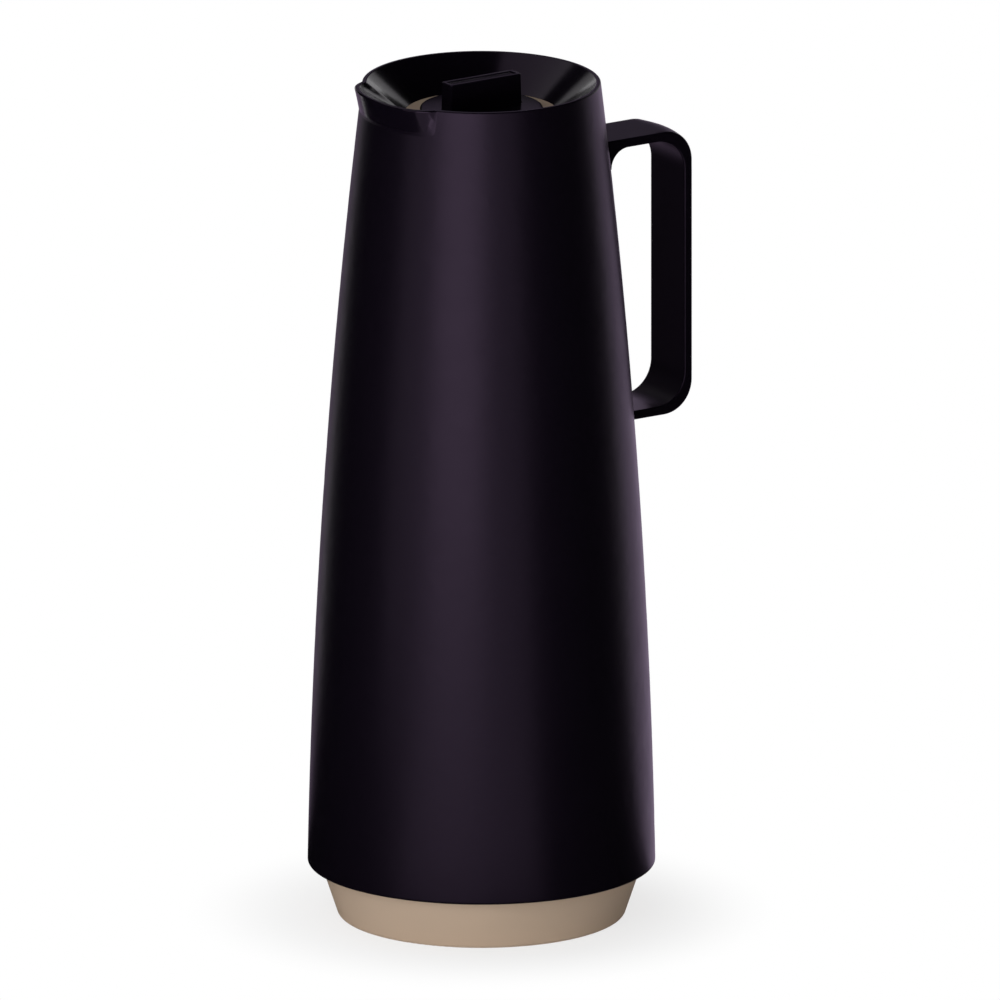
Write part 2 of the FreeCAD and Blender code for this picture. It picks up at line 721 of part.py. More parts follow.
def mouth_gasket():
    """The rubber ring over the glass mouth, with a skirt round the neck."""
    inner = f"({NECK_RADIUS} + collar_gap)"
    bottom = f"({GLASS_TOP} - gasket_skirt)"
    turned("mouth_gasket", [
        (GASKET_HOLE, GLASS_TOP),
        (inner, GLASS_TOP),
        (inner, bottom),
        (f"({inner} + gasket_wall)", bottom),
        (f"({inner} + gasket_wall)", GASKET_TOP),
        (GASKET_HOLE, GASKET_TOP),
    ])


def fin_outline(body, name, height, grow):
    """The fin's level outline with rounded corners, larger by grow on every side."""
    end = f"(fin_length / 2 + {grow})"
    side = f"(fin_width / 2 + {grow})"
    corners = []
    for across, up in ((1, 1), (-1, 1), (-1, -1), (1, -1)):
        along = (f"{across} * {end}", f"{up} * ({side} - fin_corner)")
        aside = (f"{across} * ({end} - fin_corner)", f"{up} * {side}")
        first, last = (along, aside) if across == up else (aside, along)
        corners += [first, last + ("fin_corner",)]
    return sketch_on(body, name, "XY_Plane", corners, height)


def rectangle(length, width):
    """Corners of a rectangle about the axis."""
    return [(f"{across} * ({length}) / 2", f"{up} * ({width}) / 2")
            for across, up in ((1, 1), (-1, 1), (-1, -1), (1, -1))]


def pocket(body, name, sketch, length, upward):
    """Cut straight up or down from a sketch, and see that it took something away."""
    before = body.Shape.Volume
    cut = body.newObject("PartDesign::Pocket", name)
    cut.Profile = sketch
    cut.Reversed = upward
    bind(cut, Length=length)
    finish(body, cut)
    if body.Shape.Volume >= before:
        raise RuntimeError(f"{name} cut nothing")
    return cut


def round_fin_foot(edge):
    """A test for the edges where the fin stands on the disc."""
    return level_at(DISC_TOP)(edge) and edge.BoundBox.XMax < sheet.fin_length / 2 + sheet.fin_flare


def stopper_cap():
    """The stopper's top: a disc with a finger fin, and a skirt with flutes to pour through."""
    body = turned("stopper_cap", [
        ("0", DISC_TOP),
        ("0", CAP_CEILING),
        (STOPPER_BORE, CAP_CEILING),
        (STOPPER_BORE, SKIRT_BOTTOM),
        (SKIRT_RADIUS, SKIRT_BOTTOM),
        (SKIRT_RADIUS, DISC_BOTTOM),
        (DISC_RADIUS, DISC_BOTTOM),
        (DISC_RADIUS, DISC_TOP),
    ])
    rounded(body, "disc_round", ring_at(DISC_RADIUS, DISC_TOP), "disc_edge")
    fin = body.newObject("PartDesign::AdditiveLoft", "fin")
    fin.Profile = fin_outline(body, "fin_foot", f"({DISC_TOP} - cap_wall / 2)", "fin_flare")
    fin.Sections = [fin_outline(body, "fin_head", FIN_TOP, "0")]
    finish(body, fin)
    rounded(body, "fin_rounds", level_at(FIN_TOP), "fin_edge")
    rounded(body, "fin_fillet", round_fin_foot, "fin_root")
    panel_corners = rectangle("fin_length - 2 * panel_border", "fin_width - 2 * panel_border")
    panel = sketch_on(body, "panel", "XY_Plane", panel_corners, FIN_TOP)
    pocket(body, "panel_recess", panel, "panel_depth", False)
    core_corners = rectangle("fin_length - 2 * fin_wall", "fin_width - 2 * fin_wall")
    core = sketch_on(body, "core", "XY_Plane", core_corners, CAP_CEILING)
    pocket(body, "fin_core", core, f"{FIN_TOP} - panel_depth - fin_wall - {CAP_CEILING}", True)
    flute_floor = f"({SKIRT_RADIUS} - flute_depth)"
    flute_end = f"({SKIRT_RADIUS} + overrun)"
    flute = sketch_on(body, "flute", "XY_Plane", [
        (flute_floor, "-flute_width / 2"),
        (flute_end, "-flute_width / 2"),
        (flute_end, "flute_width / 2"),
        (flute_floor, "flute_width / 2"),
    ], SKIRT_BOTTOM)
    cut = pocket(body, "flute_cut", flute, f"{DISC_BOTTOM} - {SKIRT_BOTTOM}", True)
    repeated(body, "flutes", cut, FLUTE_COUNT)


def stopper_plug():
    """The cup under the cap: a spigot, the seal's neck, a bead and the tapered plug."""
    bottom = f"({GASKET_TOP} - plug_length)"
    bead_bottom = f"({GASKET_TOP} - bead_height)"
    spigot = f"({STOPPER_BORE} - spigot_gap)"
    spigot_top = f"({SKIRT_BOTTOM} + spigot_length)"
    body = turned("stopper_plug", [
        ("0", bottom),
        (PLUG_TIP_RADIUS, bottom),
        (PLUG_RADIUS, bead_bottom),
        (BEAD_RADIUS, bead_bottom),
        (BEAD_RADIUS, GASKET_TOP),
        (PLUG_NECK, GASKET_TOP),
        (PLUG_NECK, SKIRT_BOTTOM),
        (spigot, SKIRT_BOTTOM),
        (spigot, spigot_top),
        (f"({PLUG_NECK} - plug_wall)", spigot_top),
        (f"({PLUG_NECK} - plug_wall)", bead_bottom),
        (f"({PLUG_TIP_RADIUS} - plug_wall)", f"({bottom} + plug_wall)"),
        ("0", f"({bottom} + plug_wall)"),
    ])
    rounded(body, "plug_round", ring_at(PLUG_TIP_RADIUS, bottom), "plug_edge")


def stopper_seal():
    """The silicone ring that the cap presses on the gasket."""
    inner = f"({PLUG_NECK} + stopper_gap)"
    turned("stopper_seal", [
        (inner, GASKET_TOP),
        (SEAL_RADIUS, GASKET_TOP),
        (SEAL_RADIUS, SKIRT_BOTTOM),
        (inner, SKIRT_BOTTOM),
    ])


def stopper_foam():
    """The insulation inside the plug and the cap."""
    foam = doc.addObject("Part::Cylinder", "stopper_foam")
    floor = f"({GASKET_TOP} - plug_length + plug_wall + foam_gap)"
    bind(foam, Radius=f"{PLUG_TIP_RADIUS} - plug_wall - foam_gap",
         Height=f"{CAP_CEILING} - foam_gap - {floor}", Placement__Base__z=floor)


NODES = [
    "outer_shell", "handle", "base_cup", "base_cushion", "inner_flask", "outer_flask", "flask_spacers",
    "neck_collar", "collar_seal", "mouth_gasket",
    "stopper_cap", "stopper_plug", "stopper_seal", "stopper_foam",
]

outer_shell()
handle()
base_cup()
base_cushion()
inner_flask()
outer_flask()
flask_spacers()
neck_collar()
mouth_gasket()
stopper_cap()
stopper_plug()
stopper_seal()
stopper_foam()
doc.recompute()

for item in doc.Objects:
    if {"Invalid", "Error"} & set(item.State):
        raise RuntimeError(f"{item.Label} failed to build")
os.makedirs("parts", exist_ok=True)
for node in NODES:
    shape = doc.getObjectsByLabel(node)[0].Shape
    if shape.isNull() or not shape.isValid():
        raise RuntimeError(f"{node} has no valid shape")
    print(node, len(shape.Solids), round(shape.Volume))
    shape.exportStep(f"parts/{node}.step")
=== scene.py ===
import math

import bmesh
import bpy
from bpy.props import FloatProperty, FloatVectorProperty, IntProperty, PointerProperty
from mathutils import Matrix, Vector


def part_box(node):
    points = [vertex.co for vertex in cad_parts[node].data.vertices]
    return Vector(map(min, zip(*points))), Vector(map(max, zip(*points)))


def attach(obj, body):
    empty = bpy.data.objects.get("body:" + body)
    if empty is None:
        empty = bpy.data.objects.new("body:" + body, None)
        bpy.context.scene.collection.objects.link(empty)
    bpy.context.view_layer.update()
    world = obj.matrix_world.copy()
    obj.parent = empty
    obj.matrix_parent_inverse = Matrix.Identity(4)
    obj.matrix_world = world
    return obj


bl_info = {
    "name": "Thermal Jug",
    "version": (1, 0, 0),
    "blender": (4, 5, 0),
    "location": "View3D > Sidebar > Thermal Jug",
    "description": "Dresses a vacuum jug with a finned screw stopper around its fixed frame",
    "category": "Object",
}

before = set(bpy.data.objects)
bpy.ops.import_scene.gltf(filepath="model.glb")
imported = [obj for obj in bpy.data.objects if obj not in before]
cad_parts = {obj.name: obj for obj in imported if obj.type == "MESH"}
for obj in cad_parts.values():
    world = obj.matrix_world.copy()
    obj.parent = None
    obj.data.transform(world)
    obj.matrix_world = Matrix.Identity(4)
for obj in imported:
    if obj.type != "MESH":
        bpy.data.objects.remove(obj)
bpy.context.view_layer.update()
MM = 0.001


def linear(code):
    """An sRGB hex colour as linear red, green and blue."""
    shares = [int(code[place:place + 2], 16) / 255 for place in (1, 3, 5)]
    return tuple(share / 12.92 if share <= 0.04045 else ((share + 0.055) / 1.055) ** 2.4
                 for share in shares)


def colour(name, description, code):
    """A colour property from its sRGB hex value."""
    return FloatVectorProperty(name=name, description=description, subtype="COLOR", size=3, min=0, max=1,
                               default=linear(code))


def length(name, description, size):
    """A length property from its size in millimetres."""
    return FloatProperty(name=name, description=description, unit="LENGTH", default=size * MM)


def angle(name, description, degrees):
    """An angle property from its size in degrees."""
    return FloatProperty(name=name, description=description, subtype="ANGLE",
                         default=math.radians(degrees))


def brightness(name, description, radiance):
    """A light's brightness property."""
    return FloatProperty(name=name, description=description, min=0, default=radiance)


def count(name, description, number):
    """A whole-number property."""
    return IntProperty(name=name, description=description, min=1, default=number)


class JugFinish(bpy.types.PropertyGroup):
    """Colours of the jug's materials and the sizes of their grain."""

    dark_colour: colour("Casing Colour", "Pigment of the casing, handle and stopper", "#0c0810")
    dark_gloss: colour("Reflection Tint", "Tint of the casing's reflections seen straight on", "#f2cfff")
    taupe_colour: colour("Base Colour", "Pigment of the base and the neck collar", "#c9b29c")
    silver_colour: colour("Silvering Colour", "Mirror layer of the glass flask", "#e4e3de")
    felt_colour: colour("Felt Colour", "Wool of the pads between the glass walls", "#8b8378")
    rubber_colour: colour("Rubber Colour", "Cushion, gasket and ring", "#1b1a1b")
    silicone_colour: colour("Silicone Colour", "Milky sealing ring of the stopper", "#dcdcd6")
    foam_colour: colour("Foam Colour", "Bead foam inside the stopper", "#efeee9")
    mould_grain: length("Mould Grain", "Size of the spark-eroded grain on the plastic", 0.6)
    foam_bead: length("Foam Bead", "Size of one bead of the foam", 2.6)
    rim_radius: length("Rim Radius", "Outer radius of the casing at its rim", 41.2)
    polish_depth: length("Polish Depth", "How far below the rim the mouth is polished", 11)


class JugThread(bpy.types.PropertyGroup):
    """Sizes of the stopper's round thread and of the ribs on its fin."""

    pitch: length("Pitch", "Climb of the thread in one turn", 5)
    ridge: length("Ridge Radius", "Radius of the thread's round ridge", 0.9)
    skirt_radius: length("Skirt Ridge Circle", "Radius of the stopper ridge's middle line", 17.6)
    bore_radius: length("Bore Ridge Circle", "Radius of the collar ridge's middle line", 19.6)
    start_height: length("Start Height", "Height at which the stopper's thread starts", 277.2)
    bore_start: length("Bore Start Height", "Height at which the collar's thread starts", 274.8)
    bore_turns: FloatProperty(name="Bore Turns", description="Turns of the collar's thread", default=1.6)
    land: angle("Land Angle", "Sweep of one ridge between two flutes", 48)
    lugs: count("Ridges", "Ridges of the stopper's thread, four in a turn", 6)
    rib_count: count("Fin Ribs", "Grip ribs on top of the fin", 21)
    rib_spacing: length("Rib Spacing", "Distance between the fin's ribs", 1.2)
    rib_length: length("Rib Length", "Length of one rib across the fin", 3.2)
    rib_radius: length("Rib Radius", "Radius of one half-round rib", 0.26)
    panel_depth: length("Panel Depth", "Depth of the panel on top of the fin", 0.4)


class JugHandle(bpy.types.PropertyGroup):
    """Sizes of the full, arched corners of the handle's strap."""

    bend_radius: length("Bend Radius", "Outer radius of the strap's plain bend", 14.5)
    full_radius: length("Full Radius", "Outer radius of the full corner over the bend", 11.5)
    arch: length("Arch", "How far the full corner's middle stands over its edges", 1.1)
    edge: length("Edge Radius", "Radius of the strap's long edges", 0.6)
    sink: length("Sink", "How deep the full corner is rooted in the strap", 1)
    inset: length("Side Inset", "How far the full corner stays inside the strap's sides", 0.01)


class JugStage(bpy.types.PropertyGroup):
    """The camera and the lights round the jug."""

    azimuth: angle("Azimuth", "Turn of the camera round the jug, from looking along +Y", -33.5)
    elevation: angle("Elevation", "Tilt of the camera above the horizon", 15.2)
    view_width: length("View Width", "Width of the parallel view", 345)
    aim_height: length("Aim Height", "Height on the jug's axis at the middle of the picture", 147)
    aim_right: length("Aim Right", "How far the picture's middle lies right of the jug's axis", 6.4)
    front_light: brightness("Front Softbox", "Brightness of the front softbox", 2.8)
    top_light: brightness("Top Softbox", "Brightness of the top softbox", 0.9)
    back_left_light: brightness("Back Left Softbox", "Brightness of the back left softbox", 0.6)
    back_right_light: brightness("Back Right Softbox", "Brightness of the back right softbox", 0.9)
    room_light: brightness("Room", "Brightness of the room behind the softboxes", 1.6)
    paper_reach: length("Paper Reach", "How far from the jug's axis the paper takes its full shadow", 45)
    paper_fade: length("Paper Fade", "Width of the band in which the paper runs out to plain white", 60)


def add(tree, kind, inputs=None, **settings):
    """Add one node with its settings; each input is a value or the output that feeds it."""
    node = tree.nodes.new(kind)
    for name, setting in settings.items():
        setattr(node, name, setting)
    for name, given in (inputs or {}).items():
        if isinstance(given, bpy.types.NodeSocket):
            tree.links.new(given, node.inputs[name])
        else:
            node.inputs[name].default_value = given
    return node


def new_material(name):
    """An empty node material, its tree and its object coordinates."""
    material = bpy.data.materials.new(name)
    material.use_nodes = True
    tree = material.node_tree
    tree.nodes.clear()
    return material, tree, add(tree, "ShaderNodeTexCoord").outputs["Object"]


def finish_material(tree, inputs):
    """End a tree in one principled surface."""
    shader = add(tree, "ShaderNodeBsdfPrincipled", inputs)
    add(tree, "ShaderNodeOutputMaterial", {"Surface": shader.outputs["BSDF"]})


def mottled(tree, place, pigment, size, share):
    """The pigment, lighter and darker by a share in soft clouds of a size."""
    clouds = add(tree, "ShaderNodeTexNoise", {"Vector": place, "Scale": 1 / size, "Detail": 3.0})
    dark = [part * (1 - share) for part in pigment]
    light = [part * (1 + share) for part in pigment]
    mix = add(tree, "ShaderNodeMix", {"Factor": clouds.outputs["Fac"], "A": (*dark, 1), "B": (*light, 1)},
              data_type="RGBA")
    return mix.outputs["Result"]


PLASTIC_IOR = 1.49
GLOSS_DRIFT = 0.03
POLISHED_ROUGHNESS = 0.16


def moulded_plastic(name, pigment, tint, grain, roughness, level, mouth=None):
    """Injection-moulded polypropylene, from a spark-eroded mould.

    The eye sees an even pigment, a satin sheen that breaks up on a fine grain, and a gloss that
    drifts a little where the melt cooled. The real grain is too fine to show and is drawn coarser.
    A polished mouth, where given, shines more."""
    material, tree, place = new_material(name)
    tone = mottled(tree, place, pigment, size=30 * MM, share=0.06)
    drift = add(tree, "ShaderNodeTexNoise", {"Vector": place, "Scale": 1 / (12 * MM), "Detail": 2.0})
    gloss = add(tree, "ShaderNodeMapRange", {
        "Value": drift.outputs["Fac"], "To Min": roughness - GLOSS_DRIFT,
        "To Max": roughness + GLOSS_DRIFT})
    if mouth:
        polish = mouth_mask(tree, place, *mouth)
        gloss = add(tree, "ShaderNodeMapRange", {
            "Value": polish, "To Min": gloss.outputs[0], "To Max": POLISHED_ROUGHNESS})
    pits = add(tree, "ShaderNodeTexNoise", {"Vector": place, "Scale": 1 / grain, "Detail": 2.0})
    bump = add(tree, "ShaderNodeBump", {
        "Height": pits.outputs["Fac"], "Strength": 0.05, "Distance": 0.05 * MM})
    finish_material(tree, {
        "Base Color": tone, "Roughness": gloss.outputs[0], "IOR": PLASTIC_IOR,
        "Specular IOR Level": level, "Specular Tint": (*tint, 1), "Normal": bump.outputs["Normal"]})
    return material


# How much the casing's radius grows for each step down from its rim
SIDE_SLOPE = 0.117
# How far from the casing's side the polish starts and is full
POLISH_START = 0.3 * MM
POLISH_FULL = 0.6 * MM


def mouth_mask(tree, place, rim_height, rim_radius, depth):
    """One inside the funnel and on the lip's flare, zero on the casing's plain side."""
    where = add(tree, "ShaderNodeSeparateXYZ", {0: place})
    level = add(tree, "ShaderNodeCombineXYZ", {0: where.outputs["X"], 1: where.outputs["Y"]})
    radius = add(tree, "ShaderNodeVectorMath", {0: level.outputs[0]}, operation="LENGTH")
    drop = add(tree, "ShaderNodeMath", {0: rim_height, 1: where.outputs["Z"]}, operation="SUBTRACT")
    side = add(tree, "ShaderNodeMath", {0: drop.outputs[0], 1: SIDE_SLOPE, 2: rim_radius},
               operation="MULTIPLY_ADD")
    off = add(tree, "ShaderNodeMath", {0: radius.outputs["Value"], 1: side.outputs[0]},
              operation="SUBTRACT")
    away = add(tree, "ShaderNodeMath", {0: off.outputs[0]}, operation="ABSOLUTE")
    shine = add(tree, "ShaderNodeMapRange", {
        "Value": away.outputs[0], "From Min": POLISH_START, "From Max": POLISH_FULL})
    above = add(tree, "ShaderNodeMath", {0: drop.outputs[0], 1: depth}, operation="LESS_THAN")
    mask = add(tree, "ShaderNodeMath", {0: shine.outputs[0], 1: above.outputs[0]}, operation="MULTIPLY")
    return mask.outputs[0]


def silvered_glass(silver):
    """Blown borosilicate glass, silvered on the vacuum side.

    The eye sees a bright mirror with the slow waves of blown glass and a faint warm cast."""
    material, tree, place = new_material("silvered_blown_glass")
    tone = mottled(tree, place, silver, size=40 * MM, share=0.04)
    waves = add(tree, "ShaderNodeTexNoise", {"Vector": place, "Scale": 1 / (25 * MM), "Detail": 1.0})
    bump = add(tree, "ShaderNodeBump", {
        "Height": waves.outputs["Fac"], "Strength": 0.15, "Distance": 0.4 * MM})
    finish_material(tree, {
        "Base Color": tone, "Metallic": 1.0, "Roughness": 0.06, "Normal": bump.outputs["Normal"]})
    return material


def wool_felt(wool):
    """Pressed wool felt: short matted fibres, dull, with light and dark flecks.

    The real fibres are too fine to show and are drawn coarser."""
    material, tree, place = new_material("pressed_wool_felt")
    tone = mottled(tree, place, wool, size=0.8 * MM, share=0.3)
    fibres = add(tree, "ShaderNodeTexNoise", {
        "Vector": place, "Scale": 1 / (0.3 * MM), "Detail": 6.0, "Distortion": 2.0})
    bump = add(tree, "ShaderNodeBump", {
        "Height": fibres.outputs["Fac"], "Strength": 0.6, "Distance": 0.2 * MM})
    finish_material(tree, {
        "Base Color": tone, "Roughness": 0.95, "Sheen Weight": 0.3, "Normal": bump.outputs["Normal"]})
    return material


def moulded_rubber(rubber):
    """Compression-moulded rubber: nearly black, dull, with a dusty bloom and fine pits.

    The real pits are too fine to show and are drawn coarser."""
    material, tree, place = new_material("compression_moulded_rubber")
    tone = mottled(tree, place, rubber, size=6 * MM, share=0.35)
    pits = add(tree, "ShaderNodeTexNoise", {"Vector": place, "Scale": 1 / (0.5 * MM), "Detail": 3.0})
    bump = add(tree, "ShaderNodeBump", {
        "Height": pits.outputs["Fac"], "Strength": 0.2, "Distance": 0.08 * MM})
    finish_material(tree, {
        "Base Color": tone, "Roughness": 0.65, "IOR": 1.52, "Normal": bump.outputs["Normal"]})
    return material


def milky_silicone(silicone):
    """Food-grade silicone, moulded: milky, letting light in a little, with a soft waxy shine."""
    material, tree, place = new_material("moulded_silicone")
    tone = mottled(tree, place, silicone, size=8 * MM, share=0.05)
    smear = add(tree, "ShaderNodeTexNoise", {"Vector": place, "Scale": 1 / (3 * MM), "Detail": 2.0})
    gloss = add(tree, "ShaderNodeMapRange", {
        "Value": smear.outputs["Fac"], "To Min": 0.35, "To Max": 0.5})
    finish_material(tree, {
        "Base Color": tone, "Roughness": gloss.outputs[0], "IOR": 1.41, "Subsurface Weight": 0.4,
        "Subsurface Scale": 1.5 * MM})
    return material


def bead_foam(foam, bead):
    """Steam-moulded bead foam: pale beads pressed flat against each other, their sunken seams darkened
    with painted shade.
    """
    material, tree, place = new_material("steam_moulded_bead_foam")
    seam_share = 0.12
    shade_share = 0.7
    beads = add(tree, "ShaderNodeTexVoronoi", {"Vector": place, "Scale": 1 / bead},
                feature="DISTANCE_TO_EDGE")
    seam = add(tree, "ShaderNodeMapRange", {"Value": beads.outputs["Distance"], "From Max": seam_share})
    # Painted shade: the colour darkens towards the sunken seams between the beads
    shade = [part * shade_share for part in foam]
    tone = add(tree, "ShaderNodeMix", {"Factor": seam.outputs[0], "A": (*shade, 1), "B": (*foam, 1)},
               data_type="RGBA")
    bump = add(tree, "ShaderNodeBump", {"Height": seam.outputs[0], "Strength": 0.5, "Distance": 0.2 * MM})
    finish_material(tree, {
        "Base Color": tone.outputs["Result"], "Roughness": 0.85, "Normal": bump.outputs["Normal"]})
    return material


def paint(material, *names):
    """Give CAD nodes a material."""
    for name in names:
        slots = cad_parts[name].data.materials
        slots.clear()
        slots.append(material)


def casing_plastic(finish):
    """The casing's dark plastic, with the polished mouth."""
    rim_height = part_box("outer_shell")[1][2]
    return moulded_plastic(
        "satin_moulded_polypropylene", finish.dark_colour, finish.dark_gloss, finish.mould_grain,
        roughness=0.35, level=0.17, mouth=(rim_height, finish.rim_radius, finish.polish_depth))


def stopper_plastic(finish):
    """The stopper's dark plastic, from a smoother mould."""
    return moulded_plastic(
        "smooth_moulded_polypropylene", finish.dark_colour, finish.dark_gloss, finish.mould_grain,
        roughness=0.22, level=0.2)


def polished_plastic(finish):
    """The dark plastic of the fin's ribs, from a polished mould."""
    return moulded_plastic(
        "polished_moulded_polypropylene", finish.dark_colour, finish.dark_gloss, finish.mould_grain,
        roughness=0.12, level=0.6)


def taupe_plastic(finish):
    """The base's and the collar's taupe plastic."""
    white = (1, 1, 1)
    return moulded_plastic("taupe_moulded_polypropylene", finish.taupe_colour, white, finish.mould_grain,
                           roughness=0.42, level=0.4)


class JUG_OT_casing(bpy.types.Operator):
    """Finish the casing and the handle in dark plastic"""

    bl_idname = "jug.casing"
    bl_label = "Casing and Handle"

    def execute(self, context):
        paint(casing_plastic(context.scene.jug_finish), "outer_shell", "handle")
        return {"FINISHED"}


class JUG_OT_base(bpy.types.Operator):
    """Finish the base and the neck collar in taupe plastic"""

    bl_idname = "jug.base"
    bl_label = "Base and Collar"

    def execute(self, context):
        paint(taupe_plastic(context.scene.jug_finish), "base_cup", "neck_collar")
        return {"FINISHED"}


class JUG_OT_flask(bpy.types.Operator):
    """Silver the glass flask and felt its spacers"""

    bl_idname = "jug.flask"
    bl_label = "Flask"

    def execute(self, context):
        finish = context.scene.jug_finish
        paint(silvered_glass(finish.silver_colour), "inner_flask", "outer_flask")
        paint(wool_felt(finish.felt_colour), "flask_spacers")
        return {"FINISHED"}


class JUG_OT_seals(bpy.types.Operator):
    """Finish the rubber and silicone seals"""

    bl_idname = "jug.seals"
    bl_label = "Seals"

    def execute(self, context):
        finish = context.scene.jug_finish
        paint(moulded_rubber(finish.rubber_colour), "base_cushion", "mouth_gasket", "collar_seal")
        paint(milky_silicone(finish.silicone_colour), "stopper_seal")
        return {"FINISHED"}


class JUG_OT_stopper(bpy.types.Operator):
    """Finish the stopper's cap and plug in dark plastic, and its filling in bead foam"""

    bl_idname = "jug.stopper"
    bl_label = "Stopper"

    def execute(self, context):
        finish = context.scene.jug_finish
        paint(stopper_plastic(finish), "stopper_cap", "stopper_plug")
        paint(bead_foam(finish.foam_colour, finish.foam_bead), "stopper_foam")
        return {"FINISHED"}


def new_tree(name, kinds):
    """A geometry tree with named inputs, and the node that gives them."""
    tree = bpy.data.node_groups.new(name, "GeometryNodeTree")
    tree.interface.new_socket("Geometry", in_out="OUTPUT", socket_type="NodeSocketGeometry")
    for label, kind in kinds.items():
        tree.interface.new_socket(label, in_out="INPUT", socket_type=f"NodeSocket{kind}")
    return tree, add(tree, "NodeGroupInput").outputs


def end_tree(tree, instances, material):
    """End a tree in real geometry with its material."""
    real = add(tree, "GeometryNodeRealizeInstances", {0: instances})
    dressed = add(tree, "GeometryNodeSetMaterial", {"Geometry": real.outputs[0], "Material": material})
    add(tree, "NodeGroupOutput", {0: dressed.outputs[0]})


# Steps along a ridge and round it, and round a rib
RIDGE_STEPS = 96
RIDGE_SIDES = 12
RIB_SIDES = 16


def ridge_tree():
    """Round ridges that climb a screw: one sweep, repeated up and round the axis."""
    tree, given = new_tree("round_thread", {
        "Radius": "Float", "Ridge": "Float", "Pitch": "Float", "Sweep Share": "Float",
        "Start Height": "Float", "Start Angle": "Float", "Count": "Int", "Step Angle": "Float",
        "Material": "Material"})
    climb = add(tree, "ShaderNodeMath", {0: given["Pitch"], 1: given["Sweep Share"]},
                operation="MULTIPLY")
    path = add(tree, "GeometryNodeCurveSpiral", {
        "Resolution": RIDGE_STEPS, "Rotations": given["Sweep Share"], "Start Radius": given["Radius"],
        "End Radius": given["Radius"], "Height": climb.outputs[0]})
    section = add(tree, "GeometryNodeCurvePrimitiveCircle", {
        "Resolution": RIDGE_SIDES, "Radius": given["Ridge"]})
    ridge = add(tree, "GeometryNodeCurveToMesh", {
        "Curve": path.outputs[0], "Profile Curve": section.outputs[0], "Fill Caps": True})
    turns = add(tree, "ShaderNodeMath", {0: given["Step Angle"], 1: math.tau}, operation="DIVIDE")
    rise = add(tree, "ShaderNodeMath", {0: given["Pitch"], 1: turns.outputs[0]}, operation="MULTIPLY")
    start = add(tree, "ShaderNodeCombineXYZ", {2: given["Start Height"]})
    step = add(tree, "ShaderNodeCombineXYZ", {2: rise.outputs[0]})
    spots = add(tree, "GeometryNodeMeshLine", {
        "Count": given["Count"], "Start Location": start.outputs[0], "Offset": step.outputs[0]},
        mode="OFFSET")
    number = add(tree, "GeometryNodeInputIndex")
    bearing = add(tree, "ShaderNodeMath", {
        0: number.outputs[0], 1: given["Step Angle"], 2: given["Start Angle"]}, operation="MULTIPLY_ADD")
    turn = add(tree, "ShaderNodeCombineXYZ", {2: bearing.outputs[0]})
    ridges = add(tree, "GeometryNodeInstanceOnPoints", {
        "Points": spots.outputs[0], "Instance": ridge.outputs[0], "Rotation": turn.outputs[0]})
    end_tree(tree, ridges.outputs[0], given["Material"])
    return tree


def rib_tree():
    """Half-round ribs in a row along X, sunk to their middles in the fin's panel."""
    tree, given = new_tree("fin_ribs", {
        "Count": "Int", "Spacing": "Float", "Length": "Float", "Radius": "Float", "Height": "Float",
        "Material": "Material"})
    bar = add(tree, "GeometryNodeMeshCylinder", {
        "Vertices": RIB_SIDES, "Radius": given["Radius"], "Depth": given["Length"]})
    lying = add(tree, "GeometryNodeTransform", {
        "Geometry": bar.outputs["Mesh"], "Rotation": (math.pi / 2, 0, 0)})
    gaps = add(tree, "ShaderNodeMath", {0: given["Count"], 1: 1}, operation="SUBTRACT")
    span = add(tree, "ShaderNodeMath", {0: gaps.outputs[0], 1: given["Spacing"]}, operation="MULTIPLY")
    first = add(tree, "ShaderNodeMath", {0: span.outputs[0], 1: -2}, operation="DIVIDE")
    start = add(tree, "ShaderNodeCombineXYZ", {0: first.outputs[0], 2: given["Height"]})
    step = add(tree, "ShaderNodeCombineXYZ", {0: given["Spacing"]})
    row = add(tree, "GeometryNodeMeshLine", {
        "Count": given["Count"], "Start Location": start.outputs[0], "Offset": step.outputs[0]},
        mode="OFFSET")
    ribs = add(tree, "GeometryNodeInstanceOnPoints", {
        "Points": row.outputs[0], "Instance": lying.outputs[0]})
    end_tree(tree, ribs.outputs[0], given["Material"])
    return tree


def grow(name, tree, settings, body):
    """Make a plain mesh piece from a geometry tree, and let it ride on a body."""
    piece = bpy.data.objects.new(name, bpy.data.meshes.new(name))
    bpy.context.scene.collection.objects.link(piece)
    modifier = piece.modifiers.new(tree.name, "NODES")
    modifier.node_group = tree
    for socket in tree.interface.items_tree:
        if socket.in_out == "INPUT":
            modifier[socket.identifier] = settings[socket.name]
    seen = piece.evaluated_get(bpy.context.evaluated_depsgraph_get())
    piece.data = bpy.data.meshes.new_from_object(seen)
    piece.modifiers.remove(modifier)
    if not piece.data.polygons:
        raise RuntimeError(f"{name} came out empty")
    for face in piece.data.polygons:
        face.use_smooth = len(face.vertices) == 4
    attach(piece, body)


class JUG_OT_thread(bpy.types.Operator):
    """Add the round thread: ridges between the stopper's flutes, and one in the collar's bore"""

    bl_idname = "jug.thread"
    bl_label = "Thread"

    def execute(self, context):
        sizes = context.scene.jug_thread
        tree = ridge_tree()
        quarter = math.pi / 2
        grow("stopper_thread", tree, {
            "Radius": sizes.skirt_radius, "Ridge": sizes.ridge, "Pitch": sizes.pitch,
            "Sweep Share": sizes.land / math.tau, "Start Height": sizes.start_height,
            "Start Angle": (quarter - sizes.land) / 2, "Count": sizes.lugs, "Step Angle": quarter,
            "Material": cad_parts["stopper_cap"].data.materials[0]}, "stopper")
        grow("collar_thread", tree, {
            "Radius": sizes.bore_radius, "Ridge": sizes.ridge, "Pitch": sizes.pitch,
            "Sweep Share": sizes.bore_turns, "Start Height": sizes.bore_start, "Start Angle": 0.0,
            "Count": 1, "Step Angle": quarter,
            "Material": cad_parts["neck_collar"].data.materials[0]}, "jug")
        return {"FINISHED"}


